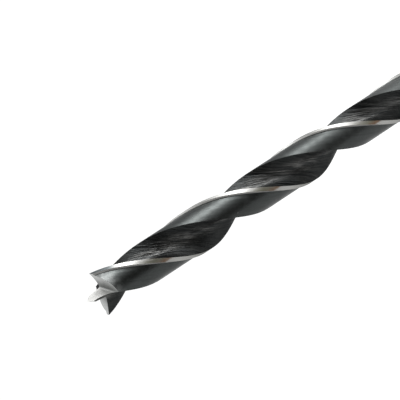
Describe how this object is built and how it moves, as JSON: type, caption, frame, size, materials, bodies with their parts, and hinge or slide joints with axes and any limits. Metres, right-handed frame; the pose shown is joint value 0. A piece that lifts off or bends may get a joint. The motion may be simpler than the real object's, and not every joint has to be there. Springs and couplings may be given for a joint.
{
  "type": "brad point drill bit",
  "caption": "Round-shank wood drill bit with helical flutes, bright ground margins, outer spurs and a centre brad point.",
  "frame": {"origin": "centre of the flat end of the shank", "axes": "+Z along the axis of rotation from the shank end to the brad point, +X through the cutting corner of the first spur"},
  "size_m": [0.008, 0.008, 0.117],
  "materials": {
    "steel": "dark blackened tool steel in the flutes and on the lands, with bright ground margins and point"
  },
  "bodies": {
    "root": {"drill_bit": "steel"}
  },
  "joints": []
}
